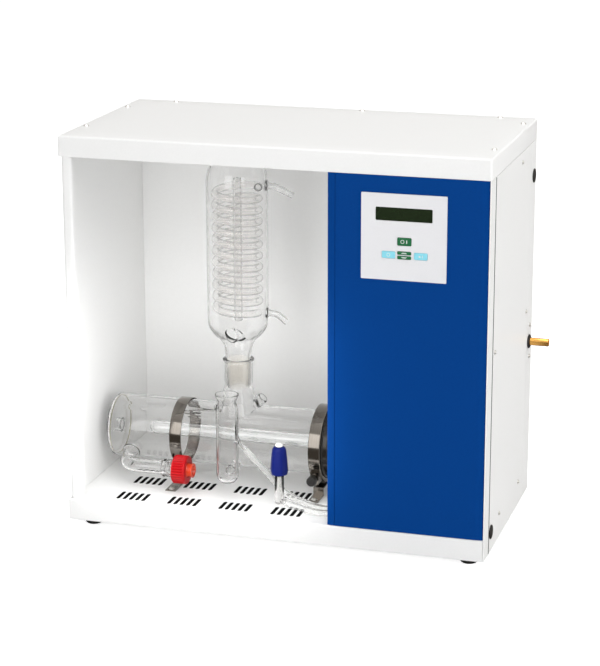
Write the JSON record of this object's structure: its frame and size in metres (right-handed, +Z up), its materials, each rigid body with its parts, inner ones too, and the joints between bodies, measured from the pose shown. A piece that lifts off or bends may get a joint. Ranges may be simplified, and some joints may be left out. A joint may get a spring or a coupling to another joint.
{
  "type": "glass water still",
  "caption": "Cabinet water still: clear horizontal boiler, coil condenser, level vessel, stopcock and drain in an open bay, with the controls behind a blue front panel.",
  "frame": {"origin": "centre of the whole object's box at the plane the feet stand on", "axes": "+X to the right seen from the front, +Y from the open front to the back, +Z up"},
  "size_m": [0.525, 0.2746, 0.47],
  "materials": {
    "white_powder_coat": "satin white powder coat on sheet steel",
    "blue_powder_coat": "satin ultramarine powder coat on sheet steel",
    "label_film": "fine-grained light grey polyester film",
    "smoked_window": "glossy dark green-black display window",
    "green_key": "satin deep green",
    "cyan_key": "satin pale cyan",
    "borosilicate_glass": "clear, fire polished",
    "quartz": "clear quartz",
    "stainless_steel": "polished band steel",
    "galvanised_steel": "zinc-plated sheet",
    "brass": "drawn, lightly polished",
    "black_rubber": "matte",
    "black_plastic": "satin moulded",
    "red_plastic": "satin moulded",
    "orange_plastic": "glossy moulded",
    "blue_plastic": "satin moulded",
    "white_fluoroplastic": "waxy",
    "white_ceramic": "unglazed ceramic terminal cap",
    "white_nylon": "satin moulded",
    "silicone_hose": "clear soft hose",
    "circuit_board": "green laminate with black parts"
  },
  "bodies": {
    "cabinet": {"base_tray": "white_powder_coat", "top_cover": "white_powder_coat", "left_wall": "white_powder_coat", "back_wall": "white_powder_coat", "right_front_post": "white_powder_coat", "right_service_panel": "white_powder_coat", "partition_wall": "white_powder_coat", "blue_front_panel": "blue_powder_coat", "keypad_overlay": "label_film", "display_window": "smoked_window", "boiler_glass": "borosilicate_glass", "drain_arm": "borosilicate_glass", "level_vessel": "borosilicate_glass", "condenser_jacket": "borosilicate_glass", "condenser_coil": "borosilicate_glass", "condenser_riser": "borosilicate_glass", "stopcock_barrel": "borosilicate_glass", "heater_sheath": "quartz", "boiler_strap": "stainless_steel", "flange_clamp": "stainless_steel", "clamp_foot": "stainless_steel", "floor_screw_left": "stainless_steel", "floor_screw_right": "stainless_steel", "power_supply": "galvanised_steel", "brass_outlet": "brass", "solenoid_valve": "brass", "foot_front_left": "black_rubber", "foot_front_right": "black_rubber", "foot_back_left": "black_rubber", "foot_back_right": "black_rubber", "flange_gasket": "black_rubber", "outlet_grommet": "black_rubber", "hole_plug_front": "black_plastic", "hole_plug_rear": "black_plastic", "display_module": "black_plastic", "heater_flange": "black_plastic", "valve_coil": "black_plastic", "power_relay": "black_plastic", "mains_gland": "black_plastic", "gland_nut": "black_plastic", "heater_cap": "white_ceramic", "terminal_block": "white_nylon", "feed_hose": "silicone_hose", "overflow_hose": "silicone_hose", "control_board": "circuit_board"},
    "power_key": {"key_power": "green_key"},
    "left_key": {"key_left": "cyan_key"},
    "right_key": {"key_right": "cyan_key"},
    "up_key": {"key_up": "green_key"},
    "down_key": {"key_down": "green_key"},
    "cock_ring": {"stopcock_o_ring": "black_rubber"},
    "cock_knob": {"stopcock_knob": "blue_plastic", "stopcock_spindle": "white_fluoroplastic"},
    "drain_fitting": {"drain_nozzle": "orange_plastic", "drain_seal": "white_fluoroplastic"},
    "drain_screw_cap": {"drain_cap": "red_plastic"},
    "clamp_ring_washer": {"clamp_washer": "stainless_steel"},
    "clamp_thumbscrew": {"clamp_screw": "black_plastic"}
  },
  "joints": [
    {"name": "power_key_press", "type": "slide", "parent": "cabinet", "child": "power_key", "axis": [0, 1, 0], "range_m": [0, 0.0005], "stiffness_N_per_m": 600},
    {"name": "left_key_press", "type": "slide", "parent": "cabinet", "child": "left_key", "axis": [0, 1, 0], "range_m": [0, 0.0005], "stiffness_N_per_m": 600},
    {"name": "right_key_press", "type": "slide", "parent": "cabinet", "child": "right_key", "axis": [0, 1, 0], "range_m": [0, 0.0005], "stiffness_N_per_m": 600},
    {"name": "up_key_press", "type": "slide", "parent": "cabinet", "child": "up_key", "axis": [0, 1, 0], "range_m": [0, 0.0005], "stiffness_N_per_m": 600},
    {"name": "down_key_press", "type": "slide", "parent": "cabinet", "child": "down_key", "axis": [0, 1, 0], "range_m": [0, 0.0005], "stiffness_N_per_m": 600},
    {"name": "stopcock_lift", "type": "slide", "parent": "cabinet", "child": "cock_ring", "axis": [0, 0, 1], "range_m": [0, 0.0046]},
    {"name": "stopcock_turn", "type": "hinge", "parent": "cock_ring", "child": "cock_knob", "pos_m": [-0.018, -0.08325, 0.07], "axis": [0, 0, 1], "range_deg": [0, 1080]},
    {"name": "drain_fitting_slide", "type": "slide", "parent": "cabinet", "child": "drain_fitting", "axis": [1, 0, 0], "range_m": [0, 0.0062]},
    {"name": "drain_cap_turn", "type": "hinge", "parent": "drain_fitting", "child": "drain_screw_cap", "pos_m": [-0.1405, -0.08325, 0.0668], "axis": [1, 0, 0], "range_deg": [0, 720]},
    {"name": "clamp_washer_slide", "type": "slide", "parent": "cabinet", "child": "clamp_ring_washer", "axis": [0, -1, 0], "range_m": [0, 0.0033]},
    {"name": "clamp_screw_turn", "type": "hinge", "parent": "clamp_ring_washer", "child": "clamp_thumbscrew", "pos_m": [0.01855, -0.06225, 0.0642], "axis": [0, -1, 0], "range_deg": [0, 1440]}
  ],
  "couplings": [
    {"joint": "stopcock_lift", "follows": "stopcock_turn", "m_per_rad": 0.00023873},
    {"joint": "drain_fitting_slide", "follows": "drain_cap_turn", "m_per_rad": 0.00047746},
    {"joint": "clamp_washer_slide", "follows": "clamp_screw_turn", "m_per_rad": 0.00012732}
  ]
}
